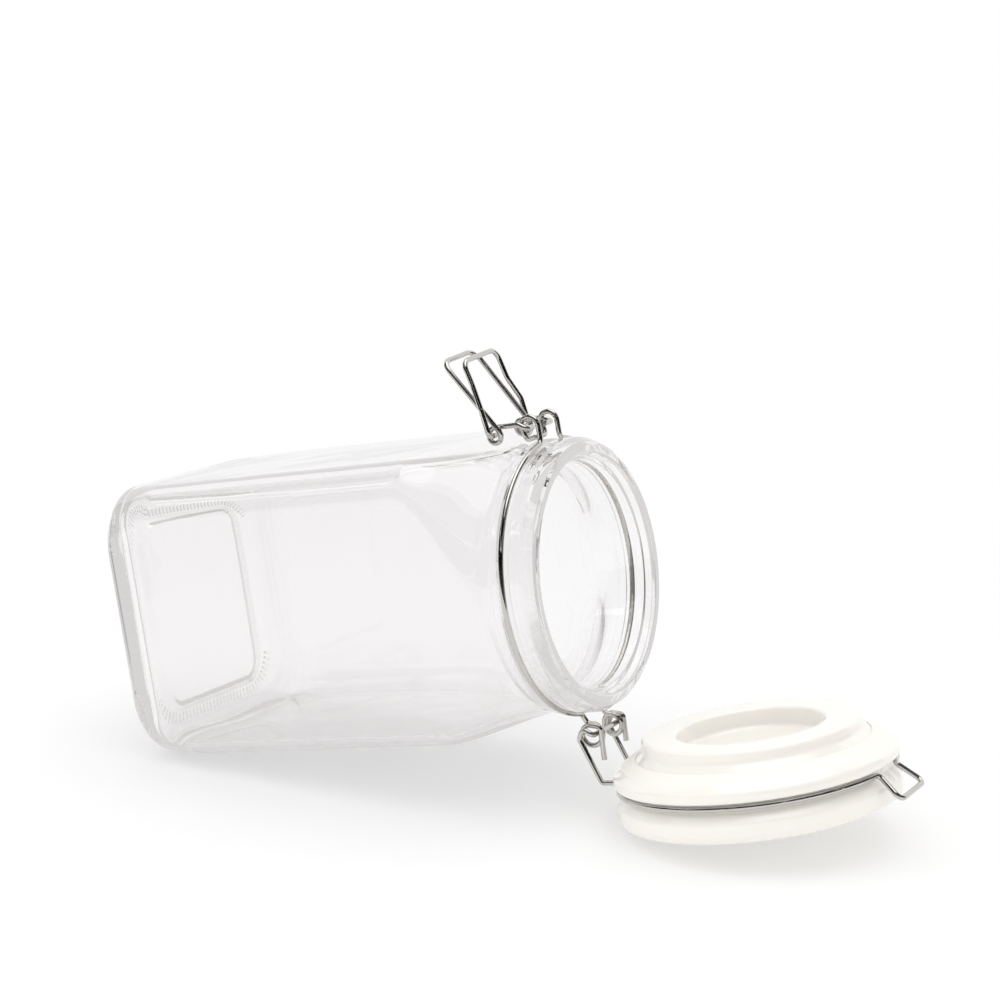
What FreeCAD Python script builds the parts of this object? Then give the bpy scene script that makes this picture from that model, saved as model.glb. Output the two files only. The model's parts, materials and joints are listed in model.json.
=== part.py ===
# Clip-top storage jar lying on its side, propped on its opened lid.
#
# Every piece is modelled in the jar's own frame: X runs along the jar from base to mouth,
# Z points to the latch side and the hinge is on the -Z side. The lid pieces are modelled
# closed on the mouth and then swung open about the hinge. The last step lays the whole
# assembly down so that the heel of the base and the edge of the lid both touch Z = 0.
import FreeCAD
import Part
import Sketcher
import math
import os

Vector = FreeCAD.Vector
AXIS_X = Vector(1, 0, 0)
AXIS_Y = Vector(0, 1, 0)

DIMENSIONS = {
    # glass body
    "body_half": 57.5, "corner_radius": 14.0, "heel_radius": 8.0,
    "cavity_half": 53.5, "cavity_corner": 10.5, "cavity_start": 8.0, "cavity_floor_radius": 8.0,
    "push_up_half": 33.0, "push_up_corner": 9.0, "push_up_depth": 3.0,
    "shoulder_start": 150.0, "shoulder_low": 164.0, "shoulder_high": 176.0, "neck_start": 184.5,
    "shoulder_low_half": 56.8, "shoulder_low_corner": 27.0,
    "shoulder_high_half": 55.0, "shoulder_high_corner": 42.0,
    "neck_root_radius": 53.6, "neck_root_corner": 53.4,
    "cavity_neck_start": 177.0, "cavity_mid": 166.0, "cavity_mid_half": 51.6, "cavity_mid_corner": 30.0,
    "neck_bore": 46.5, "neck_bore_corner": 46.3,
    # rings of the mouth
    "groove_back": 187.6, "groove_front": 193.0, "groove_floor": 54.3, "land_radius": 55.5,
    "bead_front": 198.4, "nose_radius": 52.4, "mouth": 203.4, "lip_radius": 48.0, "lip_back": 199.4,
    # wire
    "wire_radius": 1.1, "neck_wire_x": 190.3, "neck_wire_ring": 55.6,
    "hump_y": 8.0, "hump_front_x": 189.9, "hump_back_x": 181.7, "hump_top": 66.0,
    "neck_bar_x": 184.0, "neck_bar_z": 56.9, "ring_join_y": 12.0,
    "eye_y": 10.2, "eye_join_y": 13.0,
    # hinge
    "hinge_x": 196.0, "hinge_z": -63.2, "arm_y": 12.9,
    # lid, closed on the mouth
    "lid_plug_end": 196.7, "lid_plug_radius": 43.3, "lid_plug_root": 44.6,
    "lid_hollow_radius": 29.5, "lid_hollow_floor": 204.2, "lid_hollow_foot": 28.4,
    "lid_seat": 205.4, "lid_slope_radius": 52.5, "lid_slope_x": 205.9,
    "lid_edge_x": 208.8, "lid_edge_radius": 56.4, "lid_edge_back": 213.2,
    "lid_throat_radius": 52.4, "lid_throat_x": 214.4, "lid_throat_back": 217.8,
    "lid_disc_x": 221.4, "lid_disc_radius": 56.0, "lid_disc_end": 229.4,
    "lid_disc_round": 3.4, "lid_edge_round": 2.2,
    # seal
    "seal_inner": 44.9, "seal_outer": 51.6, "seal_face": 203.7,
    # lid wire, closed
    "lid_wire_x": 215.5, "lid_wire_ring": 54.6, "tongue_root_y": 8.8, "tongue_tip_y": 12.8,
    "tongue_tip_x": 224.4, "tongue_tip_z": 63.2,
    # latch, opened
    "pivot_x": 186.0, "pivot_z": 61.6, "lever_inner_y": 5.4, "lever_arm_y": 11.0,
    "coil_x": 172.1, "coil_z": 60.4, "coil_ring": 3.1, "lever_leg_y": 12.4,
    "lever_bar_x": 153.6, "lever_bar_z": 92.8,
    "bail_bar_x": 163.4, "bail_bar_z": 92.2, "bail_bar_y": 13.4, "bail_nip_y": 14.1,
    "bail_flare_y": 16.6,
    "bail_foot_y": 9.4,
}


def make_sheet(doc):
    sheet = doc.addObject("Spreadsheet::Sheet", "Sizes")
    for row, (alias, value) in enumerate(DIMENSIONS.items(), start=1):
        sheet.set("A%d" % row, alias)
        sheet.set("B%d" % row, str(value))
        sheet.setAlias("B%d" % row, alias)
    doc.recompute()
    return sheet


doc = FreeCAD.newDocument("clip_top_jar")
sheet = make_sheet(doc)


def size(alias):
    return float(sheet.get(alias))


# ---------------------------------------------------------------- sketches and bodies

def new_body(label):
    body = doc.addObject("PartDesign::Body", label)
    body.Label = label
    return body


def plane_of(body, role):
    return next(item for item in body.Origin.OriginFeatures if item.Role == role)


def new_sketch(body, name, role, offset_alias=None):
    sketch = body.newObject("Sketcher::SketchObject", name)
    sketch.AttachmentSupport = [(plane_of(body, role), "")]
    sketch.MapMode = "FlatFace"
    if offset_alias:
        sketch.setExpression("AttachmentOffset.Base.z", "Sizes." + offset_alias)
    return sketch


def bind(sketch, constraint, expression):
    index = sketch.addConstraint(constraint)
    sketch.setExpression("Constraints[%d]" % index, expression)


def profile_sketch(body, name, corners):
    """Closed outline in the XZ plane; each corner is a pair of cell names, along X and out from it."""
    sketch = new_sketch(body, name, "XZ_Plane")
    points = [Vector(size(along), size(out) if out else 0, 0) for along, out in corners]
    for start, end in zip(points, points[1:] + points[:1]):
        sketch.addGeometry(Part.LineSegment(start, end), False)
    for index, (along, out) in enumerate(corners):
        previous = (index - 1) % len(corners)
        sketch.addConstraint(Sketcher.Constraint("Coincident", previous, 2, index, 1))
        bind(sketch, Sketcher.Constraint("DistanceX", -1, 1, index, 1, points[index].x), "Sizes." + along)
        if out:
            bind(sketch, Sketcher.Constraint("DistanceY", -1, 1, index, 1, points[index].y), "Sizes." + out)
        else:
            sketch.addConstraint(Sketcher.Constraint("PointOnObject", index, 1, -1))
    return sketch


def rounded_square(body, name, offset, half, corner):
    """Square with round corners across the jar, at a distance along it."""
    sketch = new_sketch(body, name, "YZ_Plane", offset)
    radius = size(corner)
    reach = size(half) - radius
    signs = [(1, 1), (-1, 1), (-1, -1), (1, -1)]
    for quarter, (side, up) in enumerate(signs):
        centre = Vector(side * reach, up * reach, 0)
        circle = Part.Circle(centre, Vector(0, 0, 1), radius)
        start = quarter * math.pi / 2
        sketch.addGeometry(Part.ArcOfCircle(circle, start, start + math.pi / 2), False)
    for quarter in range(4):
        here = sketch.Geometry[quarter].EndPoint
        there = sketch.Geometry[(quarter + 1) % 4].StartPoint
        sketch.addGeometry(Part.LineSegment(here, there), False)
    for quarter, (side, up) in enumerate(signs):
        line = 4 + quarter
        sketch.addConstraint(Sketcher.Constraint("Tangent", quarter, 2, line, 1))
        sketch.addConstraint(Sketcher.Constraint("Tangent", line, 2, (quarter + 1) % 4, 1))
        gap = "(Sizes.%s - Sizes.%s)" % (half, corner)
        for kind, sign in (("DistanceX", side), ("DistanceY", up)):
            expression = gap if sign > 0 else "-" + gap
            bind(sketch, Sketcher.Constraint(kind, -1, 1, quarter, 3, sign * reach), expression)
        bind(sketch, Sketcher.Constraint("Radius", quarter, radius), "Sizes." + corner)
    return sketch


def feature(body, kind, name, **settings):
    item = body.newObject(kind, name)
    for key, value in settings.items():
        setattr(item, key, value)
    doc.recompute()
    return item


def turned(body, kind, name, sketch):
    return feature(body, kind, name, Profile=sketch, ReferenceAxis=(sketch, ["H_Axis"]), Angle=360.0)


def round_edges(body, name, alias, base, wanted):
    """Fillet of the edges that a test picks out."""
    names = ["Edge%d" % number for number, edge in enumerate(base.Shape.Edges, start=1) if wanted(edge)]
    item = feature(body, "PartDesign::Fillet", name, Base=(base, names))
    item.setExpression("Radius", "Sizes." + alias)
    doc.recompute()
    return item


def is_ring(edge, along, radius):
    """True for a full circle of that radius about the jar's axis at that place."""
    curve = edge.Curve
    if not isinstance(curve, Part.Circle):
        return False
    return abs(curve.Center.x - along) < 0.01 and abs(curve.Radius - radius) < 0.01


def lies_at(edge, along):
    return abs(edge.BoundBox.XMin - along) < 0.01 and abs(edge.BoundBox.XMax - along) < 0.01


# ---------------------------------------------------------------- glass jar

def build_jar():
    """Square blown body, shoulder that turns round, ringed neck, and the hollow inside."""
    body = new_body("glass_jar")
    outline = rounded_square(body, "base_outline", None, "body_half", "corner_radius")
    block = feature(body, "PartDesign::Pad", "square_block", Profile=outline)
    block.setExpression("Length", "Sizes.shoulder_start")
    doc.recompute()
    heel = round_edges(body, "heel", "heel_radius", block, lambda edge: lies_at(edge, 0))
    sections = [
        rounded_square(body, "shoulder_0", "shoulder_start", "body_half", "corner_radius"),
        rounded_square(body, "shoulder_1", "shoulder_low", "shoulder_low_half", "shoulder_low_corner"),
        rounded_square(body, "shoulder_2", "shoulder_high", "shoulder_high_half", "shoulder_high_corner"),
        rounded_square(body, "shoulder_3", "neck_start", "neck_root_radius", "neck_root_corner"),
    ]
    feature(body, "PartDesign::AdditiveLoft", "shoulder", Profile=sections[0], Sections=sections[1:])
    finish = profile_sketch(body, "finish_profile", [
        ("shoulder_high", None), ("shoulder_high", "neck_bore"), ("neck_start", "neck_root_radius"),
        ("groove_back", "land_radius"), ("groove_back", "groove_floor"),
        ("groove_front", "groove_floor"), ("groove_front", "land_radius"), ("bead_front", "land_radius"),
        ("mouth", "nose_radius"), ("mouth", None)])
    turned(body, "PartDesign::Revolution", "finish", finish)
    hollow = rounded_square(body, "cavity_outline", "cavity_start", "cavity_half", "cavity_corner")
    cavity = feature(body, "PartDesign::Pocket", "cavity", Profile=hollow, Reversed=True)
    cavity.setExpression("Length", "Sizes.shoulder_start - Sizes.cavity_start")
    doc.recompute()
    floor = round_edges(body, "cavity_floor", "cavity_floor_radius", cavity,
                        lambda edge: lies_at(edge, size("cavity_start")))
    inner = [
        rounded_square(body, "hollow_0", "shoulder_start", "cavity_half", "cavity_corner"),
        rounded_square(body, "hollow_1", "cavity_mid", "cavity_mid_half", "cavity_mid_corner"),
        rounded_square(body, "hollow_2", "cavity_neck_start", "neck_bore", "neck_bore_corner"),
    ]
    feature(body, "PartDesign::SubtractiveLoft", "hollow_shoulder", Profile=inner[0], Sections=inner[1:])
    bore = profile_sketch(body, "bore_profile", [
        ("cavity_mid", None), ("cavity_mid", "neck_bore"), ("lip_back", "neck_bore"),
        ("mouth", "lip_radius"), ("mouth", None)])
    turned(body, "PartDesign::Groove", "mouth_bore", bore)
    recess = rounded_square(body, "push_up_outline", None, "push_up_half", "push_up_corner")
    last = feature(body, "PartDesign::Pocket", "push_up", Profile=recess, Reversed=True)
    last.setExpression("Length", "Sizes.push_up_depth")
    doc.recompute()
    body.Tip = last
    return body


# ---------------------------------------------------------------- lid and seal

def build_lid():
    """Thick turned lid: plug with a shallow hollow, seating flange, throat for the wire, outer disc."""
    body = new_body("ceramic_lid")
    outline = profile_sketch(body, "lid_profile", [
        ("lid_hollow_floor", None), ("lid_hollow_floor", "lid_hollow_foot"),
        ("lid_plug_end", "lid_hollow_radius"), ("lid_plug_end", "lid_plug_radius"),
        ("lid_seat", "lid_plug_root"), ("lid_slope_x", "lid_slope_radius"),
        ("lid_edge_x", "lid_edge_radius"), ("lid_edge_back", "lid_edge_radius"),
        ("lid_throat_x", "lid_throat_radius"), ("lid_throat_back", "lid_throat_radius"),
        ("lid_disc_x", "lid_disc_radius"), ("lid_disc_end", "lid_disc_radius"), ("lid_disc_end", None)])
    block = turned(body, "PartDesign::Revolution", "lid_block", outline)
    disc = round_edges(body, "disc_edge", "lid_disc_round", block,
                       lambda edge: is_ring(edge, size("lid_disc_end"), size("lid_disc_radius")))
    soft = [("lid_plug_end", "lid_hollow_radius"), ("lid_plug_end", "lid_plug_radius"),
            ("lid_edge_back", "lid_edge_radius"), ("lid_edge_x", "lid_edge_radius")]
    last = round_edges(body, "soft_edges", "lid_edge_round", disc, lambda edge: any(
        is_ring(edge, size(along), size(out)) for along, out in soft))
    body.Tip = last
    return body


def build_seal():
    """Flat silicone ring pushed over the plug, up against the flange."""
    body = new_body("seal_ring")
    outline = profile_sketch(body, "seal_profile", [
        ("seal_face", "seal_inner"), ("seal_face", "seal_outer"),
        ("lid_seat", "seal_outer"), ("lid_seat", "seal_inner")])
    body.Tip = turned(body, "PartDesign::Revolution", "seal_turned", outline)
    return body


# ---------------------------------------------------------------- bent wire

def bent_path(points, radius):
    """Straight runs between the points, with a tangent arc at each point between the ends."""
    edges = []
    start = points[0]
    for before, corner, after in zip(points, points[1:], points[2:]):
        inward = (before - corner).normalize()
        outward = (after - corner).normalize()
        half_turn = (math.pi - inward.getAngle(outward)) / 2
        reach = radius * math.tan(half_turn)
        arc_start = corner + inward * reach
        arc_end = corner + outward * reach
        bisector = (inward + outward).normalize()
        arc_middle = corner + bisector * (radius / math.cos(half_turn) - radius)
        edges.append(Part.LineSegment(start, arc_start).toShape())
        edges.append(Part.Arc(arc_start, arc_middle, arc_end).toShape())
        start = arc_end
    edges.append(Part.LineSegment(start, points[-1]).toShape())
    return edges


def sweep(edges):
    """Round wire of the common thickness along a chain of edges."""
    path = Part.Wire(edges)
    first = path.Edges[0]
    start = first.valueAt(first.FirstParameter)
    heading = first.tangentAt(first.FirstParameter)
    circle = Part.Wire([Part.Circle(start, heading, size("wire_radius")).toShape()])
    return path.makePipeShell([circle], True, False)


def ring_arc(along, radius, side, low_y, high_y):
    """Half of a ring about the jar's axis, between two distances from the middle plane."""
    low = Vector(along, side * low_y, -math.sqrt(radius ** 2 - low_y ** 2))
    high = Vector(along, side * high_y, math.sqrt(radius ** 2 - high_y ** 2))
    return low, Vector(along, side * radius, 0), high


def tangent_corner(along, radius, side, join_y, target_y, up):
    """Where the ring's tangent at join_y meets the line y = target_y; up is +1 at the latch."""
    join_z = up * math.sqrt(radius ** 2 - join_y ** 2)
    rise = (join_y - target_y) * join_y / join_z
    return Vector(along, side * target_y, join_z + rise)


def mirrored(shape):
    return shape.mirror(Vector(0, 0, 0), AXIS_Y)


def wire_feature(label, shape):
    item = doc.addObject("Part::Feature", label)
    item.Label = label
    item.Shape = shape
    return item


def build_neck_wire():
    """Ring in the neck groove, two humps for the lever at the latch, two eyes for the lid wire."""
    along = size("neck_wire_x")
    radius = size("neck_wire_ring")
    hump_y = -size("hump_y")
    eye_y = -size("eye_y")
    bar_x = size("neck_bar_x")
    bar_z = size("neck_bar_z")
    low, side_point, high = ring_arc(along, radius, -1, size("eye_join_y"), size("ring_join_y"))
    hump_foot = tangent_corner(along, radius, -1, size("ring_join_y"), size("hump_y"), 1)
    hump = [
        Vector(bar_x, 0, bar_z), Vector(bar_x, hump_y, bar_z),
        Vector(size("hump_back_x"), hump_y, size("hump_top")),
        Vector(size("hump_front_x"), hump_y, size("hump_top")), hump_foot, high]
    eye_top = tangent_corner(along, radius, -1, size("eye_join_y"), size("eye_y"), -1)
    hinge_x = size("hinge_x")
    hinge_z = size("hinge_z")
    clear = 2 * size("wire_radius") + 0.4
    eye = [
        low, eye_top, Vector(along - 1.7, eye_y, hinge_z + 3.4),
        Vector(hinge_x - 3.2, eye_y, hinge_z - clear), Vector(hinge_x + clear, eye_y, hinge_z - clear),
        Vector(hinge_x + clear, eye_y, hinge_z + clear), Vector(hinge_x - 2.4, eye_y, hinge_z + clear + 0.3)]
    ring = [Part.Arc(high, side_point, low).toShape()]
    half = sweep(bent_path(hump, 2.0) + ring + bent_path(eye, 1.7))
    tail_x = hinge_x + clear
    near_tail = sweep(bent_path([
        Vector(tail_x, eye_y, hinge_z), Vector(tail_x + 0.3, eye_y, hinge_z - 5),
        Vector(tail_x - 0.4, eye_y, hinge_z - 10.6)], 12.0))
    far_tail = sweep([Part.LineSegment(
        Vector(tail_x, -eye_y, hinge_z), Vector(tail_x + 0.2, -eye_y, hinge_z - 8.0)).toShape()])
    return wire_feature("neck_wire", half.fuse([mirrored(half), near_tail, far_tail]).removeSplitter())


def build_lid_wire():
    """Ring round the lid's throat, with the hinge bar on two arms and the tongue for the bail."""
    along = size("lid_wire_x")
    radius = size("lid_wire_ring")
    arm_y = -size("arm_y")
    hinge_x = size("hinge_x")
    hinge_z = size("hinge_z")
    join_y = size("arm_y") + 4
    low, side_point, high = ring_arc(along, radius, -1, join_y, size("tongue_root_y") + 4.5)
    inner_corner = tangent_corner(along, radius, -1, join_y, size("arm_y"), -1)
    arm = [
        Vector(hinge_x, 0, hinge_z), Vector(hinge_x, arm_y, hinge_z),
        Vector(hinge_x - 3.0, arm_y, hinge_z - 4.0), Vector(hinge_x + 1.3, arm_y, hinge_z - 6.2),
        Vector(along, arm_y, hinge_z + 1.1), inner_corner, low]
    root = tangent_corner(along, radius, -1, size("tongue_root_y") + 4.5, size("tongue_root_y"), 1)
    tip = Vector(size("tongue_tip_x"), -size("tongue_tip_y"), size("tongue_tip_z"))
    tongue = [high, root, tip, Vector(tip.x, 0, tip.z)]
    ring = [Part.Arc(low, side_point, high).toShape()]
    half = sweep(bent_path(arm, 1.75) + ring + bent_path(tongue, 2.2))
    return wire_feature("lid_wire", half.fuse(mirrored(half)).removeSplitter())


def build_lever():
    """Thumb lever: pins in the humps, short arms, an eye each side, long legs and a cross bar."""
    pivot = Vector(size("pivot_x"), 0, size("pivot_z"))
    coil = Vector(size("coil_x"), 0, size("coil_z"))
    ring = size("coil_ring")
    arm_y = -size("lever_arm_y")
    leg_y = -size("lever_leg_y")
    bar = Vector(size("lever_bar_x"), leg_y - 0.5, size("lever_bar_z"))
    arm = sweep(bent_path([
        Vector(pivot.x, -size("lever_inner_y"), pivot.z), Vector(pivot.x, arm_y, pivot.z),
        Vector(coil.x, arm_y, coil.z + ring)], 1.5))
    eye = Part.makeTorus(ring, size("wire_radius"), coil + AXIS_Y * ((arm_y + leg_y) / 2), AXIS_Y)
    leg_foot = Vector(coil.x + 0.88 * ring, leg_y, coil.z + 0.48 * ring)
    leg = sweep(bent_path([leg_foot, bar, Vector(bar.x, 0, bar.z)], 5.0))
    half = arm.fuse([eye, leg])
    return wire_feature("latch_lever", half.fuse(mirrored(half)).removeSplitter())


def build_bail():
    """Bail: feet turned in through the lever's eyes, flared legs and the bar that takes the tongue."""
    coil = Vector(size("coil_x"), 0, size("coil_z"))
    bar = Vector(size("bail_bar_x"), -size("bail_bar_y"), size("bail_bar_z"))
    flare_y = -size("bail_flare_y")
    knee = Vector(coil.x - 1.9, flare_y, coil.z + 11.4)
    nip = Vector(coil.x - 5.4, -size("bail_nip_y"), coil.z + 20.4)
    half = sweep(bent_path([
        Vector(coil.x, -size("bail_foot_y"), coil.z), Vector(coil.x, flare_y, coil.z),
        knee, nip, bar, Vector(bar.x, 0, bar.z)], 2.4))
    return wire_feature("latch_bail", half.fuse(mirrored(half)).removeSplitter())


# ---------------------------------------------------------------- placing

def swing_open():
    """Turns the closed lid a quarter turn open about the hinge bar."""
    hinge = Vector(size("hinge_x"), 0, size("hinge_z"))
    return FreeCAD.Placement(Vector(0, 0, 0), FreeCAD.Rotation(AXIS_Y, 90), hinge)


def tilt_angle():
    """Tilt at which the heel's round and the lid disc's round stand on one level floor."""
    heel = size("heel_radius")
    heel_centre = Vector(heel, 0, -(size("body_half") - heel))
    edge = size("lid_disc_round")
    closed = Vector(size("lid_disc_end") - edge, 0, -(size("lid_disc_radius") - edge))
    edge_centre = swing_open().multVec(closed)
    span = edge_centre - heel_centre
    slope = math.atan2(span.z, span.x)
    return math.degrees(math.asin((edge - heel) / span.Length) - slope)


def lay_down():
    """Tilts the jar and lifts it until the heel touches the floor."""
    turn = FreeCAD.Rotation(AXIS_Y, -tilt_angle())
    heel = size("heel_radius")
    heel_centre = turn.multVec(Vector(heel, 0, -(size("body_half") - heel)))
    return FreeCAD.Placement(Vector(0, 0, heel - heel_centre.z), turn)


def check(items):
    for item in doc.Objects:
        bad = [word for word in item.State if word in ("Invalid", "Error")]
        if bad:
            raise RuntimeError("%s: %s" % (item.Name, item.State))
    for item in items:
        if item.Shape.isNull() or not item.Shape.isValid():
            raise RuntimeError("bad shape: " + item.Label)


fixed_items = [build_jar(), build_neck_wire(), build_lever(), build_bail()]
lid_items = [build_lid(), build_seal(), build_lid_wire()]
doc.recompute()

laid = lay_down()
for item in fixed_items:
    item.Placement = laid
for item in lid_items:
    item.Placement = laid.multiply(swing_open())
doc.recompute()

items = fixed_items + lid_items
whole = Part.makeCompound([item.Shape for item in items]).optimalBoundingBox(False, False)
centring = FreeCAD.Placement(Vector(-whole.Center.x, 0, 0), FreeCAD.Rotation())
for item in items:
    item.Placement = centring.multiply(item.Placement)
doc.recompute()

check(items)
os.makedirs("parts", exist_ok=True)
for item in items:
    item.Shape.exportStep(os.path.join("parts", item.Label + ".step"))
    print("%s volume %.1f mm3, %d solid" % (item.Label, item.Shape.Volume, len(item.Shape.Solids)))

frame = centring.multiply(laid)
for name, x, z in (("lid_hinge", "hinge_x", "hinge_z"), ("lever_pivot", "pivot_x", "pivot_z"),
                   ("bail_pivot", "coil_x", "coil_z")):
    point = frame.multVec(Vector(size(x), 0, size(z)))
    print("%s at %.4f %.4f %.4f" % (name, point.x, point.y, point.z))
print("tilt %.4f, size %.2f %.2f %.2f, bottom %.3f" % (
    tilt_angle(), whole.XLength, whole.YLength, whole.ZLength, whole.ZMin))
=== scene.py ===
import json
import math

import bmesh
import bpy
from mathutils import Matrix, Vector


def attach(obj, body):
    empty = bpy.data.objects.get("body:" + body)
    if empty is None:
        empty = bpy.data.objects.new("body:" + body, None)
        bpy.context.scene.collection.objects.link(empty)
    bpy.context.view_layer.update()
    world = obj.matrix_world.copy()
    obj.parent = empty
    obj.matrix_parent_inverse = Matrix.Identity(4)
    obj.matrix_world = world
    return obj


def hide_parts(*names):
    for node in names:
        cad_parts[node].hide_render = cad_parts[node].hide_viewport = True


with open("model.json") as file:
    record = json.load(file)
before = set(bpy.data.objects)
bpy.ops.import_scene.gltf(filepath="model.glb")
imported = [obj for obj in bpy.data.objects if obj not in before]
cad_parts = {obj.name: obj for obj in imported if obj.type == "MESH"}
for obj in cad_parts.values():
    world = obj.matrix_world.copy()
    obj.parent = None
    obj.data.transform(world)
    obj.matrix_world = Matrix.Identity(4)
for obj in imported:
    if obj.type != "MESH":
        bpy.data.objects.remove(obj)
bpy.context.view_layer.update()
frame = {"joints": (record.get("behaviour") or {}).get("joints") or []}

# %% [markdown]
# # A clip-top glass storage jar, lying open on its side
#
# This notebook rebuilds the looks of a two litre clip-top jar. Its glass body is square, and its
# round mouth takes a thick ceramic lid with a white seal. Four bent wires do the mechanical
# work: a neck wire, a lid wire, a lever and a bail. The jar lies down with the lid swung open
# under its mouth, so the heel of the base and the edge of the lid are what it stands on.
#
# Everything is made in the jar's own frame, in millimetres. X runs up the jar from its base, Y runs
# across it, and Z points to the latch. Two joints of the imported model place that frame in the
# scene, so the pieces land on the same spot as the construction solids.

MM = 0.001
HINGE = Vector((196.0, 0.0, -63.2))
PIVOT = Vector((186.0, 0.0, 61.6))
COIL = Vector((172.1, 0.0, 60.4))
WIRE_RADIUS = 1.1


def joint_place(name):
    found = next(j for j in frame["joints"] if j["name"] == name)
    return Vector(found["pos_m"]) / MM


def heading(span):
    return math.atan2(span.z, span.x)


tilt = heading(joint_place("lever_pivot") - joint_place("lid_hinge")) - heading(PIVOT - HINGE)
LAID = Matrix.Rotation(-tilt, 4, "Y")
LAID = Matrix.Translation(joint_place("lid_hinge") - LAID @ HINGE) @ LAID
SWUNG = Matrix.Translation(HINGE) @ Matrix.Rotation(math.pi / 2, 4, "Y") @ Matrix.Translation(-HINGE)
print("jar frame tilted by %.2f degrees" % math.degrees(tilt))

# %% [markdown]
# ## How the pieces become meshes
#
# Pressed and blown glass, turned ceramic and moulded silicone are all round or nearly round. One
# helper covers them: it stacks closed outlines along the jar's axis and joins them with
# quads. Each outline is a square with round corners, and a corner radius as large as half the
# side makes a circle. That lets one surface run from the square body to the round neck without
# a seam, as the blown glass does.

# %% Stacking rounded squares
AROUND = 352
LEAST = 0.4


def reach(angle, half, corner):
    """Distance from the middle to the edge of a rounded square, in one direction."""
    wide = max(abs(math.cos(angle)), abs(math.sin(angle)))
    slim = min(abs(math.cos(angle)), abs(math.sin(angle)))
    inset = half - corner
    flat = half / wide
    if flat * slim <= inset:
        return flat
    total = inset * (wide + slim)
    return total + math.sqrt(max(total * total - 2 * inset * inset + corner * corner, 0.0))


def finish_mesh(name, verts, faces, placed):
    mesh = bpy.data.meshes.new(name)
    mesh.from_pydata([tuple((placed @ Vector(v)) * MM) for v in verts], [], faces)
    shell = bmesh.new()
    shell.from_mesh(mesh)
    bmesh.ops.recalc_face_normals(shell, faces=shell.faces)
    for face in shell.faces:
        face.smooth = True
    shell.to_mesh(mesh)
    shell.free()
    obj = bpy.data.objects.new(name, mesh)
    bpy.context.scene.collection.objects.link(obj)
    return obj


def stacked(name, outlines, placed, around=AROUND, closed=False):
    """Surface through (along, half, corner, narrowing) outlines; open ends are closed with a point."""
    verts = []
    faces = []
    for along, half, corner, narrowing in outlines:
        for step in range(around):
            angle = 2 * math.pi * step / around
            out = reach(angle, half, corner)
            verts.append((along, out * math.cos(angle) * narrowing, out * math.sin(angle)))
    pairs = len(outlines) if closed else len(outlines) - 1
    for row in range(pairs):
        here = row * around
        there = ((row + 1) % len(outlines)) * around
        for step in range(around):
            ahead = (step + 1) % around
            faces.append((here + step, there + step, there + ahead, here + ahead))
    if not closed:
        for row in (0, len(outlines) - 1):
            verts.append((outlines[row][0], 0.0, 0.0))
            pole = len(verts) - 1
            for step in range(around):
                near = row * around + step
                far = row * around + (step + 1) % around
                faces.append((far, near, pole) if row == 0 else (near, far, pole))
    return finish_mesh(name, verts, faces, placed)


def rounded(points, steps=7):
    """Outline (along, out, radius) with each corner rounded by its own radius."""
    line = []
    for index, (along, out, radius) in enumerate(points):
        here = Vector((along, out))
        if radius == 0 or index in (0, len(points) - 1):
            line.append(here)
            continue
        back = Vector(points[index - 1][:2]) - here
        ahead = Vector(points[index + 1][:2]) - here
        turn = back.angle(ahead)
        cut = min(radius / math.tan(turn / 2), back.length * 0.49, ahead.length * 0.49)
        start = here + back.normalized() * cut
        end = here + ahead.normalized() * cut
        for step in range(steps + 1):
            t = step / steps
            line.append(start * (1 - t) ** 2 + here * 2 * t * (1 - t) + end * t ** 2)
    return line


print("outline helpers ready")

# %% [markdown]
# ## The glass body
#
# The jar is blown in a square mould, while its mouth rings are pressed round. The wall is 4 mm
# thick and the base 6 to 8 mm, with a contact ring round a shallow push-up panel. The
# outside and the inside are one closed surface here, because light has to enter the glass
# and leave it again for the thick edges to show.

# %% Glass jar
SQUARE = (57.5, 14.0)
CAVITY = (53.5, 10.5)
ROUND = 53.8
SHOULDER = (149.0, 184.0)
BORE_FOOT = 175.5
BORE_HALF = 46.9
INNER_SHOULDER = 27.5
HEEL = 8.0
HEEL_CORNER = 22.4
HEEL_RISE = 2.8
FOOT_HALF = SQUARE[0] - HEEL
PANEL_HALF = 40.0
PANEL_NARROWING = 0.80
FLOOR = 8.0
FLOOR_ROUND = 8.5


def ease(t):
    return t * t * (3 - 2 * t)


def shoulder(start, end, square, neck_radius, count):
    """Outlines from the square body to the round neck."""
    rows = []
    for step in range(count + 1):
        t = step / count
        half = square[0] + (neck_radius - square[0]) * ease(t) ** 1.15
        corner = square[1] + (neck_radius - square[1]) * ease(t) ** 0.9
        rows.append((start + (end - start) * t, half, min(corner, half), 1.0))
    return rows


def inner_shoulder():
    """Inside of the shoulder: it breaks away sharply from the lower end of the neck's bore."""
    rows = []
    for step in range(1, 25):
        t = step / 24
        opened = ease(t) * 0.5 + math.sqrt(t) * 0.5
        half = BORE_HALF + (CAVITY[0] - BORE_HALF) * opened
        corner = BORE_HALF + (CAVITY[1] - BORE_HALF) * ease(t) ** 0.8
        rows.append((BORE_FOOT - INNER_SHOULDER * t, half, corner, 1.0))
    return rows


def base_corner(half):
    """Corner radius of an outline on the base, growing towards the outside."""
    return min(9.0 + max(half - 39.0, 0.0) * 1.6, half)


def base_narrowing(half):
    """The panel of the base is narrower across the jar than it is tall."""
    widened = min(max((half - PANEL_HALF) / 9.0, 0.0), 1.0)
    return PANEL_NARROWING + (1 - PANEL_NARROWING) * widened


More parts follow.
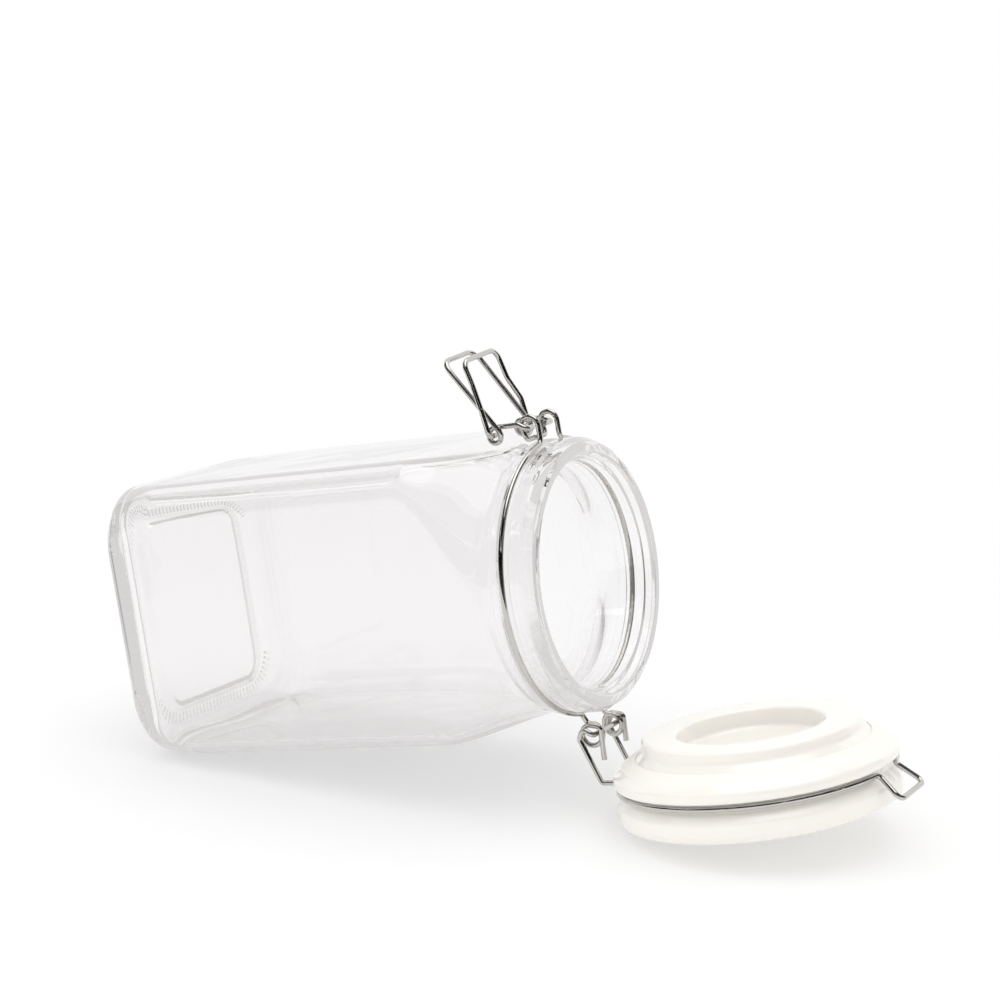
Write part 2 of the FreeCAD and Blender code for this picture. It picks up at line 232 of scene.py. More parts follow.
def heel():
    """Round from the contact ring to the side walls; its corners are cut back like a chamfer."""
    rows = []
    for step in range(15):
        t = step / 14
        angle = math.pi / 2 * t
        along = HEEL - HEEL * math.cos(angle)
        half = FOOT_HALF + HEEL * math.sin(angle)
        corner = base_corner(FOOT_HALF) + (HEEL_CORNER - base_corner(FOOT_HALF)) * t
        rows.append((along, half, corner, 1.0))
    for step in range(1, 8):
        rows.append((HEEL + HEEL_RISE * step, SQUARE[0], HEEL_CORNER - 1.2 * step, 1.0))
    return rows


def jar_outlines():
    panel = rounded([(3.4, 0.0, 0), (3.2, 38.6, 1.6), (0.9, 40.4, 1.0), (0.0, 43.0, 0.8), (0.0, 49.4, 0)])
    rows = []
    for spot in panel:
        half = max(spot.y, LEAST)
        rows.append((spot.x, half, min(base_corner(spot.y), half), base_narrowing(spot.y)))
    rows += heel()
    rows += [(x, SQUARE[0], SQUARE[1], 1.0) for x in range(28, 148, 6)]
    rows += shoulder(*SHOULDER, SQUARE, ROUND, 26)
    mouth = rounded([
        (SHOULDER[1], ROUND, 0), (185.2, 55.6, 1.2), (187.8, 55.6, 0.6), (188.3, 54.3, 0.4),
        (192.5, 54.3, 0.5), (193.6, 55.3, 1.0), (198.6, 55.2, 2.2), (202.6, 53.0, 1.2), (203.5, 51.6, 0.9),
        (203.5, 48.6, 0.9), (199.6, 47.6, 0.8), (199.0, 46.0, 0.6), (190.0, 45.8, 1.5),
        (176.6, 46.2, 0.8), (BORE_FOOT, BORE_HALF, 0)], 6)
    rows += [(p.x, p.y, p.y, 1.0) for p in mouth[1:]]
    rows += inner_shoulder()
    rows += [(x, *CAVITY, 1.0) for x in range(142, 20, -6)]
    for step in range(0, 11):
        angle = math.pi / 2 * step / 10
        along = FLOOR + FLOOR_ROUND - FLOOR_ROUND * math.sin(angle)
        half = CAVITY[0] - FLOOR_ROUND + FLOOR_ROUND * math.cos(angle)
        rows.append((along, half, CAVITY[1] + 0.5 * step / 10, 1.0))
    rows += [(8.3, 40.0, 10.5, 1.0), (8.8, 30.0, 9.5, 1.0), (9.1, 18.0, 9.5, 1.0), (9.2, 6.0, 6.0, 1.0)]
    rows.append((9.2, LEAST, LEAST, 1.0))
    return rows


jar = stacked("clear_jar", jar_outlines(), LAID)
print("glass jar:", len(jar.data.polygons), "faces")

# %% [markdown]
# ## Knurl ticks on the contact ring
#
# Pressed jars carry a ring of small ribs on the base. The ribs keep the hot glass from sliding on
# the cooling belt and hide scratches later. They repeat along a path, so a node tree makes them:
# it spreads points along the contact ring's middle line and sets one small rib, turned
# across the line, on each point. The two sides of the ring between latch and hinge stay bare.

# %% Node tree that sets ribs along a line
def feed(tree, socket, value):
    """Sets the socket, or links it where the value is a socket or a shader number that holds one."""
    value = getattr(value, "socket", value)
    if isinstance(value, bpy.types.NodeSocket):
        tree.links.new(value, socket)
    else:
        socket.default_value = value


def add_node(tree, kind, settings=None, numbered=None, **named):
    """Adds a node: its type, its settings, then its sockets by number or by name. Gives its outputs."""
    made = tree.nodes.new(kind)
    for key, value in (settings or {}).items():
        setattr(made, key, value)
    for number, value in (numbered or {}).items():
        feed(tree, made.inputs[number], value)
    for key, value in named.items():
        feed(tree, made.inputs[key.replace("_", " ")], value)
    return made.outputs


def close_group(tree, geometry, source):
    """Ends a group in plain geometry with the Surface material on it."""
    real = add_node(tree, "GeometryNodeRealizeInstances", Geometry=geometry)
    finish = add_node(tree, "GeometryNodeSetMaterial",
                      Geometry=real["Geometry"], Material=source["Surface"])
    add_node(tree, "NodeGroupOutput", Geometry=finish["Geometry"])


def new_group(name, inputs):
    """Geometry node group with a Geometry socket in and out, and the named inputs."""
    tree = bpy.data.node_groups.new(name, "GeometryNodeTree")
    tree.interface.new_socket("Geometry", in_out="INPUT", socket_type="NodeSocketGeometry")
    for label, kind in inputs:
        tree.interface.new_socket(label, in_out="INPUT", socket_type=kind)
    tree.interface.new_socket("Geometry", in_out="OUTPUT", socket_type="NodeSocketGeometry")
    return tree, add_node(tree, "NodeGroupInput")


def grown(obj, tree, values, name):
    """Runs a node group on obj with these input values and keeps the result as a plain mesh."""
    modifier = obj.modifiers.new("grow", "NODES")
    modifier.node_group = tree
    sockets = {item.name: item.identifier for item in tree.interface.items_tree if item.in_out == "INPUT"}
    for label, value in values.items():
        modifier[sockets[label]] = value
    graph = bpy.context.evaluated_depsgraph_get()
    mesh = bpy.data.meshes.new_from_object(obj.evaluated_get(graph), depsgraph=graph)
    mesh.name = name
    bpy.data.objects.remove(obj)
    made = bpy.data.objects.new(name, mesh)
    bpy.context.scene.collection.objects.link(made)
    return made


def rib_tree():
    tree, source = new_group("ribs_along_line", [
        ("Rib", "NodeSocketObject"), ("Spacing", "NodeSocketFloat"), ("Middle", "NodeSocketFloat"),
        ("Bare", "NodeSocketFloat"), ("Surface", "NodeSocketMaterial")])
    curve = add_node(tree, "GeometryNodeMeshToCurve", Mesh=source["Geometry"])
    points = add_node(tree, "GeometryNodeCurveToPoints", {"mode": "LENGTH"},
                      Curve=curve["Curve"], Length=source["Spacing"])
    shape = add_node(tree, "GeometryNodeObjectInfo", Object=source["Rib"])
    where = add_node(tree, "GeometryNodeInputPosition")
    height = add_node(tree, "ShaderNodeSeparateXYZ", Vector=where["Position"])
    above = add_node(tree, "ShaderNodeMath", {"operation": "SUBTRACT"},
                     {0: height["Z"], 1: source["Middle"]})
    size = add_node(tree, "ShaderNodeMath", {"operation": "ABSOLUTE"}, {0: above[0]})
    kept = add_node(tree, "FunctionNodeCompare", {"operation": "GREATER_THAN"},
                    {0: size[0], 1: source["Bare"]})
    placed = add_node(tree, "GeometryNodeInstanceOnPoints", Points=points["Points"],
                      Selection=kept["Result"], Instance=shape["Geometry"], Rotation=points["Rotation"])
    close_group(tree, placed["Instances"], source)
    return tree


def line_object(name, points, placed, closed):
    """Edges through points of the jar's own frame, set in the scene."""
    mesh = bpy.data.meshes.new(name)
    edges = [(i, i + 1) for i in range(len(points) - 1)]
    if closed:
        edges.append((len(points) - 1, 0))
    mesh.from_pydata([tuple((placed @ Vector(p)) * MM) for p in points], edges, [])
    obj = bpy.data.objects.new(name, mesh)
    bpy.context.scene.collection.objects.link(obj)
    return obj


print("rib tree ready")

# %% [markdown]
# ## Materials
#
# Every finish is made from noise and shading nodes. A small wrapper lets the node maths read
# like ordinary sums, so each material below stays a few lines long.

# %% Shader helpers
class Sum:
    """A shader number that can be added, subtracted and multiplied like a float."""

    def __init__(self, paint, socket):
        self.paint = paint
        self.socket = socket

    def _with(self, other, operation, swap=False):
        first, second = (other, self) if swap else (self, other)
        return self.paint.math(operation, first, second)

    def __add__(self, other):
        return self._with(other, "ADD")

    def __radd__(self, other):
        return self._with(other, "ADD", True)

    def __sub__(self, other):
        return self._with(other, "SUBTRACT")

    def __rsub__(self, other):
        return self._with(other, "SUBTRACT", True)

    def __mul__(self, other):
        return self._with(other, "MULTIPLY")

    def __rmul__(self, other):
        return self._with(other, "MULTIPLY", True)


class Paint:
    """Builds the nodes of one material, or of the world."""

    def __init__(self, owner, output="ShaderNodeOutputMaterial"):
        self.owner = owner
        self.owner.use_nodes = True
        self.tree = self.owner.node_tree
        self.tree.nodes.clear()
        self.out = self.tree.nodes.new(output)

    def node(self, kind, settings=None, numbered=None, **named):
        return add_node(self.tree, kind, settings, numbered, **named)

    def math(self, operation, first, second=0.0, clamp=False):
        settings = {"operation": operation, "use_clamp": clamp}
        return Sum(self, self.node("ShaderNodeMath", settings, {0: first, 1: second})[0])

    def place(self):
        return self.node("ShaderNodeTexCoord")["Object"]

    def noise(self, scale, detail=2.0):
        made = self.node("ShaderNodeTexNoise", Vector=self.place(), Scale=scale, Detail=detail)
        return Sum(self, made["Fac"])

    def mix(self, factor, first, second):
        return self.node("ShaderNodeMix", {"data_type": "RGBA"}, {0: factor, 6: first, 7: second})[2]

    def blend(self, factor, first, second):
        """Mixes two shaders."""
        return self.node("ShaderNodeMixShader", None, {0: factor, 1: first, 2: second})[0]

    def bump(self, height, strength, distance):
        return self.node("ShaderNodeBump", Height=height, Strength=strength, Distance=distance)["Normal"]

    def done(self, shader):
        feed(self.tree, self.out.inputs["Surface"], shader)
        return self.owner


def new_paint(name):
    return Paint(bpy.data.materials.new(name))


def grey(value):
    return (value, value, value, 1.0)


print("shader helpers ready")

# %% [markdown]
# ### Clear glass
#
# Soda-lime glass bends light with an index near 1.5 and is faintly grey in thick places. The blown
# walls are never quite flat, so a slow ripple moves the reflections a little. Light that goes
# through the glass to the floor isn't traced through both walls; the shadow rays see a nearly
# clear sheet instead, which keeps the pale shadow that such a jar throws. Where a path has been
# mirrored again and again inside a thick edge, or has crossed the glass many times, the glass
# glows a fixed pale grey instead: a painted glow that stands in for light from the white room.

# %% Glass
def glass_material():
    paint = new_paint("clear_glass")
    ripple = paint.bump(paint.noise(26.0, 1.0), 0.10, 0.002)
    glass = paint.node("ShaderNodeBsdfGlass", Color=(0.972, 0.968, 0.968, 1.0), Roughness=0.0, IOR=1.5,
                       Normal=ripple)
    # Painted glow: a pale grey emission that stands in for room light at the end of long paths inside the
    # glass.
    room_glow = paint.node("ShaderNodeEmission", Color=(0.76, 0.75, 0.75, 1.0), Strength=1.0)
    clear = paint.node("ShaderNodeBsdfTransparent", Color=(0.95, 0.948, 0.947, 1.0))
    light_path = paint.node("ShaderNodeLightPath")
    mirrored_often = paint.math("GREATER_THAN", light_path["Glossy Depth"], 3.5)
    crossed_often = paint.math("GREATER_THAN", light_path["Ray Depth"], 8.5)
    seen = paint.blend(paint.math("MAXIMUM", mirrored_often, crossed_often), glass[0], room_glow[0])
    return paint.done(paint.blend(light_path["Is Shadow Ray"], seen, clear[0]))


glass_look = glass_material()
jar.data.materials.append(glass_look)
print("glass ready")

# %% [markdown]
# ### Glazed ceramic, silicone and wire
#
# The lid is slip-cast porcelain with a clear glaze: warm white, with a sheen that comes from the
# glaze layer. The silicone seal is matt. The wire is bright drawn stainless, slightly
# uneven from the drawing and the bending.

# %% Other finishes
def ceramic_material():
    paint = new_paint("glazed_ceramic")
    cloud = paint.noise(38.0, 3.0)
    tone = paint.mix(cloud, (0.925, 0.895, 0.83, 1.0), (0.94, 0.915, 0.86, 1.0))
    rough = 0.16 + paint.noise(90.0, 2.0) * 0.10
    skin = paint.bump(paint.noise(140.0, 2.0), 0.10, 0.0006)
    shader = paint.node("ShaderNodeBsdfPrincipled", Base_Color=tone, Roughness=rough, Normal=skin,
                        Coat_Weight=0.6, Coat_Roughness=0.06,
                        Subsurface_Weight=0.06, Subsurface_Scale=0.004)
    return paint.done(shader[0])


def silicone_material():
    paint = new_paint("white_silicone")
    grain = paint.noise(420.0, 2.0)
    tone = paint.mix(grain, (0.925, 0.895, 0.83, 1.0), (0.94, 0.915, 0.86, 1.0))
    shader = paint.node("ShaderNodeBsdfPrincipled", Base_Color=tone, Roughness=0.42 + grain * 0.16,
                        Normal=paint.bump(grain, 0.12, 0.0003))
    return paint.done(shader[0])


def wire_material():
    paint = new_paint("bright_wire")
    cloud = paint.noise(120.0, 2.0)
    tone = paint.mix(cloud, (0.54, 0.525, 0.50, 1.0), (0.62, 0.605, 0.58, 1.0))
    shader = paint.node("ShaderNodeBsdfPrincipled", Base_Color=tone, Metallic=1.0,
                        Roughness=0.05 + cloud * 0.05, Normal=paint.bump(cloud, 0.02, 0.0003))
    return paint.done(shader[0])


ceramic_look = ceramic_material()
silicone_look = silicone_material()
wire_look = wire_material()
print("ceramic, silicone and wire ready")

# %% [markdown]
# ### Setting the ribs
#
# Each rib is a low bar with rounded ends, half sunk in the contact ring. It has few faces, because
# the tree repeats it eighty times.

# %% Ribs on the base
RING_HALF = 46.0
RIB_REACH = 2.9
RIB_RADIUS = 0.5
RIB_ROWS = 7
RIB_SIDES = 8


def contact_line():
    """Middle line of the contact ring, on the outside of the base."""
    steps = 480
    line = []
    for step in range(steps):
        angle = 2 * math.pi * step / steps
        out = reach(angle, RING_HALF, base_corner(RING_HALF))
        line.append((0.0, out * math.cos(angle) * base_narrowing(RING_HALF), out * math.sin(angle)))
    return line


def rib_shape():
    """One rib: a low smooth bar, lying across the line, half sunk in the glass."""
    verts = []
    faces = []
    for row in range(RIB_ROWS):
        across = -1 + 2 * row / (RIB_ROWS - 1)
        out = RIB_RADIUS * math.sqrt(max(1 - across ** 4, 0.0))
        for step in range(RIB_SIDES):
            angle = 2 * math.pi * step / RIB_SIDES
            verts.append((across * RIB_REACH * MM, out * math.cos(angle) * MM, out * math.sin(angle) * MM))
    for row in range(RIB_ROWS - 1):
        here = row * RIB_SIDES
        there = here + RIB_SIDES
        for step in range(RIB_SIDES):
            ahead = (step + 1) % RIB_SIDES
            faces.append((here + step, here + ahead, there + ahead, there + step))
    mesh = bpy.data.meshes.new("rib_shape")
    mesh.from_pydata(verts, [], faces)
    for polygon in mesh.polygons:
        polygon.use_smooth = True
    obj = bpy.data.objects.new("rib_shape", mesh)
    bpy.context.scene.collection.objects.link(obj)
    return obj


rib = rib_shape()
ring_line = line_object("contact_line", contact_line(), LAID, True)
middle = (LAID @ Vector((0, 0, 0))).z * MM
ribs = grown(ring_line, rib_tree(), {
    "Rib": rib, "Spacing": 2.5 * MM, "Middle": middle, "Bare": 30.0 * MM,
    "Surface": glass_look}, "base_ribs")
bpy.data.objects.remove(rib)
print("base ribs:", len(ribs.data.polygons), "faces")

# %% [markdown]
# ## The ceramic lid and its seal
#
# The lid is one thick turned shape. A hollow plug drops into the mouth, a flange sits on the rim, a
# waist takes the lid wire, and a flat disc closes the top. The profile below is the half
# section of the closed lid. It is then swung a quarter turn about the hinge to stand open.

# %% Lid and seal
LID_PROFILE = [
    (204.4, 0.0, 0), (204.2, 27.8, 2.2), (196.7, 29.4, 2.0), (196.7, 43.3, 2.6), (201.2, 43.5, 3.2),
    (204.8, 46.8, 3.2), (207.0, 52.8, 3.0), (209.8, 56.2, 2.6), (213.4, 56.4, 1.5), (214.6, 52.6, 1.2),
    (217.6, 52.4, 1.8), (221.4, 55.8, 2.4), (229.4, 56.0, 3.9), (229.4, 0.0, 0)]
SEAL_PROFILE = [
    (204.6, 48.6, 0), (207.3, 53.1, 0), (205.6, 47.4, 0.3), (203.8, 46.0, 0.5), (204.2, 47.6, 0)]


def ring_rows(profile, steps):
    """Round outlines of a turned profile; one on the axis is kept as a small circle."""
    smallest = 0.3
    return [(p.x, max(p.y, smallest), max(p.y, smallest), 1.0) for p in rounded(profile, steps)]


lid = stacked("lid", ring_rows(LID_PROFILE, 8)[::-1], LAID @ SWUNG, 256)
lid.data.materials.append(ceramic_look)
seal = stacked("seal", ring_rows(SEAL_PROFILE, 5), LAID @ SWUNG, 192, closed=True)
seal.data.set_sharp_from_angle(angle=math.radians(35))
seal.data.materials.append(silicone_look)
print("lid:", len(lid.data.polygons), "faces; seal:", len(seal.data.polygons))

# %% [markdown]
# ## Bent wires
#
# All four wires are 2.2 mm stainless, bent cold on a jig: straight runs joined by round bends, with
# wound eyes where one wire turns in another. Each path is worked out as a line of points, and one
# node tree gives every line its round thickness.

# %% Wire paths
def bends(points):
    """Line through (point, radius) corners, each rounded by a true arc."""
    line = [points[0][0].copy()]
    for index in range(1, len(points) - 1):
        corner, radius = points[index]
        back = points[index - 1][0] - corner
        ahead = points[index + 1][0] - corner
        half = (math.pi - back.angle(ahead)) / 2
        cut = min(radius * math.tan(half), back.length * 0.495, ahead.length * 0.495)
        true = cut / math.tan(half)
        start = corner + back.normalized() * cut
        end = corner + ahead.normalized() * cut
        middle = corner + (back.normalized() + ahead.normalized()).normalized() * (true / math.cos(half))
        normal = (start - middle).cross(end - middle).normalized()
        steps = max(4, int(math.degrees(2 * half) / 9))
        for step in range(steps + 1):
            turn = Matrix.Rotation(2 * half * step / steps, 3, normal)
            line.append(middle + turn @ (start - middle))
    line.append(points[-1][0].copy())
    return line


def winding(centre, radius, start, sweep, y_start, y_end):
    """Helix about a line along Y. Angles run from +X towards +Z, in degrees."""
    steps = max(6, int(abs(sweep) / 8))
    line = []
    for step in range(steps + 1):
        t = step / steps
        angle = math.radians(start + sweep * t)
        spot = Vector((math.cos(angle), 0, math.sin(angle))) * radius
        line.append(centre + spot + Vector((0, y_start + (y_end - y_start) * t, 0)))
    return line


def ring_part(along, radius, low_y, high_y, side):
    """Arc of a ring about the jar's axis, from near the hinge to near the latch."""
    start = math.atan2(-math.sqrt(radius ** 2 - low_y ** 2), low_y)
    end = math.atan2(math.sqrt(radius ** 2 - high_y ** 2), high_y)
    steps = 110
    line = []
    for step in range(steps + 1):
        angle = start + (end - start) * step / steps
        line.append(Vector((along, side * radius * math.cos(angle), radius * math.sin(angle))))
    return line


def mirrored(line):
    return [Vector((p.x, -p.y, p.z)) for p in reversed(line)]


def wire_tree():
    tree, source = new_group("wire_along_line", [
        ("Radius", "NodeSocketFloat"), ("Sides", "NodeSocketInt"), ("Surface", "NodeSocketMaterial")])
    curve = add_node(tree, "GeometryNodeMeshToCurve", Mesh=source["Geometry"])
    circle = add_node(tree, "GeometryNodeCurvePrimitiveCircle",
                      Resolution=source["Sides"], Radius=source["Radius"])
    tube = add_node(tree, "GeometryNodeCurveToMesh",
                    Curve=curve["Curve"], Profile_Curve=circle["Curve"], Fill_Caps=True)
    smooth = add_node(tree, "GeometryNodeSetShadeSmooth", Geometry=tube["Mesh"])
    close_group(tree, smooth["Geometry"], source)
    return tree


WIRE_TREE = wire_tree()


def wire(name, line, placed, closed=False):
    path = line_object(name + "_path", line, placed, closed)
    return grown(path, WIRE_TREE, {"Radius": WIRE_RADIUS * MM, "Sides": 20, "Surface": wire_look}, name)


def at(x, y, z):
    return Vector((x, y, z))


def tangent_y(radius, join_y, target_y, up):
    """Height where the ring's tangent at join_y meets y = target_y; up is +1 at the latch."""
    return up * (math.sqrt(radius ** 2 - join_y ** 2)
                 + (join_y - target_y) * join_y / math.sqrt(radius ** 2 - join_y ** 2))


print("wire tree ready")

# %% [markdown]
# ### Neck wire
#
# The neck wire lies in the groove under the rim. At the latch it rises into two humps, joined by a
# short bar, which hold the lever's ends. At the hinge its two ends are wound into eyes round the
# lid wire's bar, and each ends in a short tail.

# %% Neck wire
RING_X = 190.3
RING_R = 55.6


def neck_half(side, tail):
    hump_y = side * 8.0
    eye_y = side * 10.2
    hump = bends([
        (at(184.0, 0, 56.9), 0), (at(184.0, hump_y, 56.9), 2.0), (at(181.7, hump_y, 66.0), 3.9),
        (at(189.9, hump_y, 66.0), 3.9), (at(RING_X - 0.2, hump_y, tangent_y(RING_R, 12.0, 8.0, 1)), 3.0),
        (at(RING_X, side * 12.0, tangent_y(RING_R, 12.0, 12.0, 1)), 0)])
    ring = ring_part(RING_X, RING_R, 13.0, 12.0, side)[::-1]
    ring_end = tangent_y(RING_R, 13.0, 8.6, -1)
    loop = HINGE + Vector((-2.0, 0, -0.6))
    top = loop + Vector((0, 0, 4.3))
    drop = bends([
        (at(RING_X, side * 13.0, tangent_y(RING_R, 13.0, 13.0, -1)), 0),
        (at(RING_X, side * 8.8, ring_end), 2.2), (at(RING_X + 1.6, side * 7.9, top.z + 0.3), 1.6),
        (at(top.x - 0.2, side * 7.9, top.z), 0)])
    eye = winding(loop, 4.3, 90, -360, side * 7.9, eye_y)
    end = bends([
        (eye[-1], 0), (at(HINGE.x + 2.6, eye_y, HINGE.z + 2.9), 1.6),
        (at(HINGE.x + 2.3, eye_y, HINGE.z - tail), 0)])
    return hump + ring[1:] + drop[1:] + eye[1:] + end[1:]


near_side = neck_half(-1, 10.6)
far_side = neck_half(1, 8.0)
neck_wire = wire("ring_wire", near_side[::-1] + far_side[1:], LAID)
print("neck wire:", len(neck_wire.data.polygons), "faces")

# %% [markdown]
# ### Lid wire
#
# The lid wire lies in the waist of the lid. Its hinge bar turns in the eyes of the neck wire, on two
# cranked arms. Opposite the hinge it runs out into a tongue, which the bail hooks over.

# %% Lid wire
LID_X = 215.5
LID_R = 54.6


def lid_half(side):
    arm_y = side * 12.9
    arm = bends([
        (at(HINGE.x, 0, HINGE.z), 0), (at(HINGE.x, arm_y, HINGE.z), 1.8),
        (at(HINGE.x - 3.0, arm_y, HINGE.z - 4.0), 1.8), (at(HINGE.x + 1.3, arm_y, HINGE.z - 6.2), 1.8),
        (at(LID_X, arm_y, HINGE.z + 1.1), 1.8),
        (at(LID_X, arm_y, tangent_y(LID_R, 16.9, 12.9, -1)), 1.8),
        (at(LID_X, side * 16.9, tangent_y(LID_R, 16.9, 16.9, -1)), 0)])
    ring = ring_part(LID_X, LID_R, 16.9, 13.3, side)
    tongue = bends([
        (at(LID_X, side * 13.3, tangent_y(LID_R, 13.3, 13.3, 1)), 0),
        (at(LID_X, side * 8.8, tangent_y(LID_R, 13.3, 8.8, 1)), 2.2),
        (at(224.4, side * 12.8, 63.2), 2.6), (at(224.4, 0, 63.2), 0)])
    return arm + ring[1:] + tongue[1:]


half = lid_half(-1)
lid_wire = wire("lid_ring_wire", half + mirrored(half)[1:-1], LAID @ SWUNG, closed=True)
print("lid wire:", len(lid_wire.data.polygons), "faces")

# %% [markdown]
# ### Lever and bail
#
# The lever's ends turn in the humps. A wound eye on each side carries the bail, and the long legs
# give the thumb its leverage. The bail's feet are bent inwards through the two eyes, its legs
# flare out round the lever, and its bar hooks over the tongue. Both lean a little to one side, as
# loose wires do.

# %% Lever and bail
LEAN = 1.0


def lever_half(side):
    arm_y = side * 10.7
    leg_y = side * 12.9
    arm = bends([
        (at(PIVOT.x, side * 5.4, PIVOT.z), 0), (at(PIVOT.x, arm_y, PIVOT.z), 1.6),
        (at(PIVOT.x - 3.4, arm_y, COIL.z + 3.1), 2.5), (at(COIL.x, arm_y, COIL.z + 3.1), 0)])
    eye = winding(COIL, 3.1, 90, 304.0, arm_y, leg_y)
    bar = (153.6, 92.8)
    leg = bends([(eye[-1], 0), (at(bar[0], leg_y, bar[1] + side * LEAN), 5.5), (at(bar[0], 0, bar[1]), 0)])
    return arm + eye[1:] + leg[1:]


lever = wire("lever_wire", lever_half(-1) + lever_half(1)[::-1][1:], LAID)


def bail_half(side):
    return bends([
        (at(COIL.x, side * 9.0, COIL.z), 0), (at(COIL.x, side * 16.6, COIL.z), 2.2),
        (at(COIL.x - 1.9, side * 16.6, COIL.z + 11.4), 6.0),
        (at(COIL.x - 5.4, side * 14.0, COIL.z + 20.4), 8.0),
        (at(163.4, side * 13.4, 92.2 + side * LEAN), 4.5), (at(163.4, 0, 92.2), 0)])


bail = wire("bail_wire", bail_half(-1) + bail_half(1)[::-1][1:], LAID)
print("lever:", len(lever.data.polygons), "faces; bail:", len(bail.data.polygons))

# %% [markdown]
# ## Joining the construction frame
#
# Each finished piece rides on the body it belongs to and stands in for its construction solid.

# %% Riding on the bodies
for obj, body, node, slot_name in (
        (jar, "jar", "glass_jar", "clear_glass"), (ribs, "jar", "glass_jar", "clear_glass"),
        (neck_wire, "jar", "neck_wire", "bright_wire"), (lid, "lid", "ceramic_lid", "glazed_ceramic"),
        (seal, "lid", "seal_ring", "white_silicone"), (lid_wire, "lid", "lid_wire", "bright_wire"),
        (lever, "lever", "latch_lever", "bright_wire"), (bail, "bail", "latch_bail", "bright_wire")):
    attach(obj, body)
    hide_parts(node)
print("eight pieces ride on four bodies")

# %% [markdown]
# ## Floor, light and camera
#
# The jar lies on a white sweep under a large overhead softbox. Near the object the floor is mostly a
# matt surface that takes the shadow; further out it fades into a plain white glow. Wire looks
# bright only where it mirrors something dark next to something white, so dark cards stand round
# the front of the set. Only mirrored and refracted rays meet them.

# %% Stage
FLOOR_HALF = 2.5
FADE_START = 0.24
FADE_RATE = 3.0
NEAR_GLOW = 0.36
CARD_TONE = 0.01


def floor_material():
    paint = new_paint("pale_floor")
    where = paint.node("ShaderNodeSeparateXYZ", Vector=paint.place())
    x = Sum(paint, where["X"])
    y = Sum(paint, where["Y"])
    far = paint.math("POWER", x * x + y * y, 0.5)
    fade = paint.math("MULTIPLY", far - FADE_START, FADE_RATE, clamp=True)
    matt = paint.node("ShaderNodeBsdfDiffuse", Color=grey(0.92))
    glow = paint.node("ShaderNodeEmission", Color=grey(1.0), Strength=1.0)
    return paint.done(paint.blend(NEAR_GLOW + fade * (1 - NEAR_GLOW), matt[0], glow[0]))


def add_floor():
    mesh = bpy.data.meshes.new("floor")
    corners = [(x * FLOOR_HALF, y * FLOOR_HALF, 0) for x, y in ((-1, -1), (1, -1), (1, 1), (-1, 1))]
    mesh.from_pydata(corners, [], [(0, 1, 2, 3)])
    floor = bpy.data.objects.new("floor", mesh)
    bpy.context.scene.collection.objects.link(floor)
    floor.location.z = -0.0002
    floor.data.materials.append(floor_material())
    return floor


def add_lamp(name, place, target, size, power):
    data = bpy.data.lights.new(name, "AREA")
    data.shape = "RECTANGLE"
    data.size = size
    data.size_y = size
    data.energy = power
    lamp = bpy.data.objects.new(name, data)
    lamp.location = place
    lamp.rotation_euler = (Vector(target) - Vector(place)).to_track_quat("-Z", "Y").to_euler()
    bpy.context.scene.collection.objects.link(lamp)
    return lamp


def white_world():
    """White where it is seen, mirrored or refracted; a little dimmer as light on the object."""
    world = bpy.data.worlds.new("white_room")
    bpy.context.scene.world = world
    paint = Paint(world, "ShaderNodeOutputWorld")
    seen = paint.node("ShaderNodeBackground", Color=grey(1.0))
    room_glow = paint.node("ShaderNodeBackground", Color=grey(0.88))
    light_path = paint.node("ShaderNodeLightPath")
    bounced = paint.math("MAXIMUM", light_path["Is Glossy Ray"], light_path["Is Transmission Ray"])
    straight = paint.math("MAXIMUM", light_path["Is Camera Ray"], bounced)
    paint.done(paint.blend(straight, room_glow[0], seen[0]))


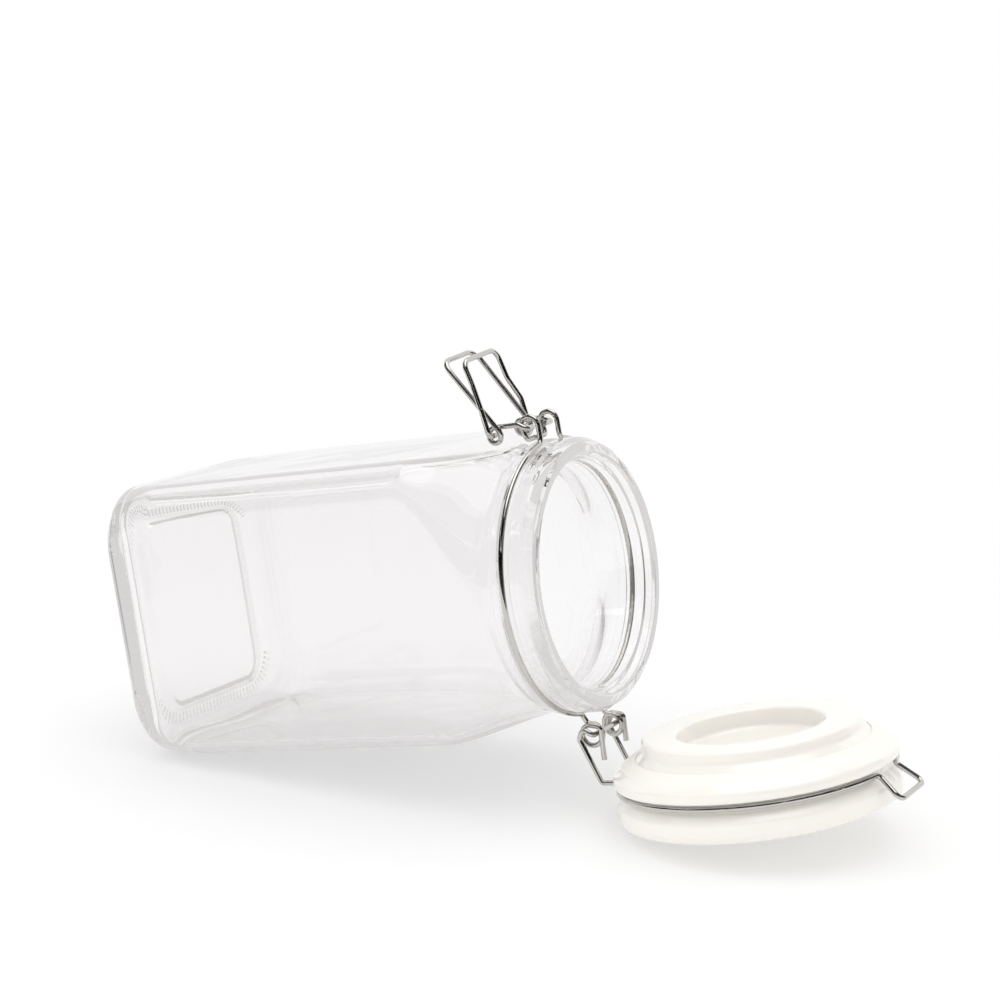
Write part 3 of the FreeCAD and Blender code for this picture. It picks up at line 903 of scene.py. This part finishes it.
def add_card(name, place, target, width, height, mirrored_tone, through_tone):
    """Card beside the set with one tone for reflections and another one through the glass."""
    mesh = bpy.data.meshes.new(name)
    x, y = width / 2, height / 2
    mesh.from_pydata([(-x, -y, 0), (x, -y, 0), (x, y, 0), (-x, y, 0)], [], [(0, 1, 2, 3)])
    card = bpy.data.objects.new(name, mesh)
    card.location = place
    card.rotation_euler = (Vector(target) - Vector(place)).to_track_quat("-Z", "Y").to_euler()
    bpy.context.scene.collection.objects.link(card)
    paint = new_paint(name)
    light_path = paint.node("ShaderNodeLightPath")
    tone = paint.mix(light_path["Is Transmission Ray"], grey(mirrored_tone), grey(through_tone))
    mesh.materials.append(paint.done(paint.node("ShaderNodeEmission", Color=tone)[0]))
    card.visible_camera = False
    card.visible_diffuse = False
    card.visible_shadow = False
    return card


add_floor()
white_world()
for number, turn in enumerate((-165, -118, -70, -22, 26)):
    outwards = Vector((math.cos(math.radians(turn)), math.sin(math.radians(turn)), 0.0))
    low = outwards * 1.5 + Vector((0, 0, 0.55))
    high = outwards + Vector((0, 0, 1.3))
    add_card("low_card_%d" % number, low, (0, 0, 0.3), 1.3, 0.95, CARD_TONE, 0.3)
    add_card("high_card_%d" % number, high, (0, 0, 0.1), 1.0, 0.85, CARD_TONE, 0.8)
add_lamp("overhead_softbox", (0.1, -0.1, 1.5), (0, 0, 0), 1.6, 7.5)
add_lamp("left_softbox", (-1.3, -0.9, 0.9), (0, 0, 0.05), 0.9, 3.5)
print("stage ready")


# %% [markdown]
# The camera stands low, on the side of the mouth. Its place and headings are written in the jar's
# own frame, so it keeps its view of the jar if the jar is laid down at another angle.

# %% Camera
def add_camera():
    data = bpy.data.cameras.new("camera")
    data.lens = 87.32
    data.sensor_width = 36.0
    camera = bpy.data.objects.new("camera", data)
    bpy.context.scene.collection.objects.link(camera)
    ahead = LAID.to_3x3() @ Vector((-0.50589, 0.85580, -0.10812))
    across = ahead.cross(LAID.to_3x3() @ Vector((0.07732, 0.16982, 0.98244))).normalized()
    turned = Matrix((across, across.cross(ahead), -ahead)).transposed()
    place = (LAID @ Vector((661.04, -843.03, 139.40))) * MM
    camera.matrix_world = Matrix.Translation(place) @ turned.to_4x4()
    bpy.context.scene.camera = camera
    return camera


add_camera()
bpy.context.scene.view_settings.view_transform = "Standard"
print("camera ready")
